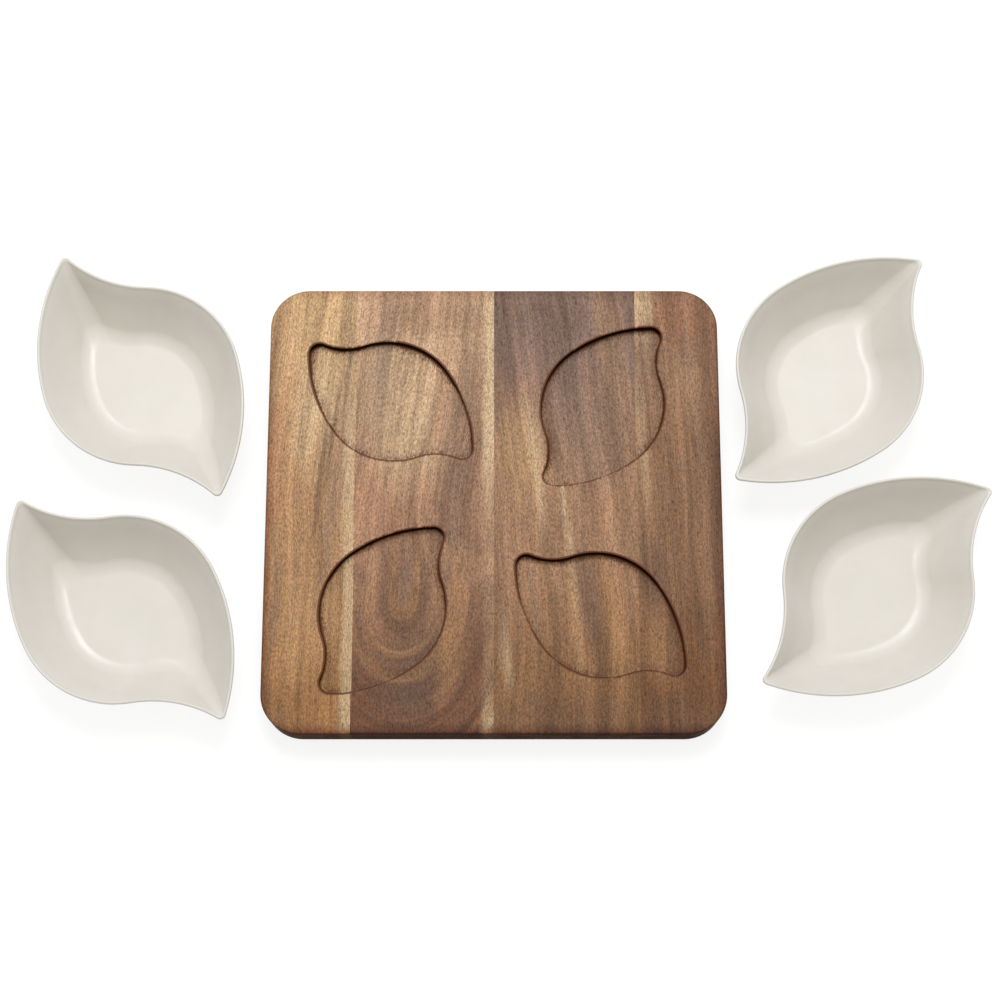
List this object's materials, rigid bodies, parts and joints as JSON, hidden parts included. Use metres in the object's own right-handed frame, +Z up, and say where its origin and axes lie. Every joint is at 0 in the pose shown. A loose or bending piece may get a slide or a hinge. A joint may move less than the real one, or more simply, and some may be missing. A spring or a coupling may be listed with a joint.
{
  "type": "chip and dip server",
  "caption": "Square edge-glued wooden serving board with leaf-shaped pockets in a pinwheel, and matching loose glazed leaf-shaped dip bowls standing beside it.",
  "frame": {"origin": "centre of the board's underside, level with the table", "axes": "+Z up, +Y to the back of the board along the wood grain, +X to the right"},
  "size_m": [0.6409, 0.3203, 0.039],
  "materials": {
    "golden_stave": "oiled",
    "brown_stave": "oiled",
    "dark_stave": "oiled",
    "russet_stave": "oiled",
    "bowl_glaze": "gloss"
  },
  "bodies": {
    "board": {"left_edge_stave": "golden_stave", "left_middle_stave": "brown_stave", "right_middle_stave": "dark_stave", "right_edge_stave": "russet_stave"},
    "back_left_bowl_body": {"back_left_bowl": "bowl_glaze"},
    "back_right_bowl_body": {"back_right_bowl": "bowl_glaze"},
    "front_left_bowl_body": {"front_left_bowl": "bowl_glaze"},
    "front_right_bowl_body": {"front_right_bowl": "bowl_glaze"}
  },
  "joints": [
    {"name": "back_left_bowl_lift", "type": "slide", "parent": "board", "child": "back_left_bowl_body", "axis": [0, 0, 1], "range_m": [0, 0.1]},
    {"name": "back_right_bowl_lift", "type": "slide", "parent": "board", "child": "back_right_bowl_body", "axis": [0, 0, 1], "range_m": [0, 0.1]},
    {"name": "front_left_bowl_lift", "type": "slide", "parent": "board", "child": "front_left_bowl_body", "axis": [0, 0, 1], "range_m": [0, 0.1]},
    {"name": "front_right_bowl_lift", "type": "slide", "parent": "board", "child": "front_right_bowl_body", "axis": [0, 0, 1], "range_m": [0, 0.1]}
  ]
}
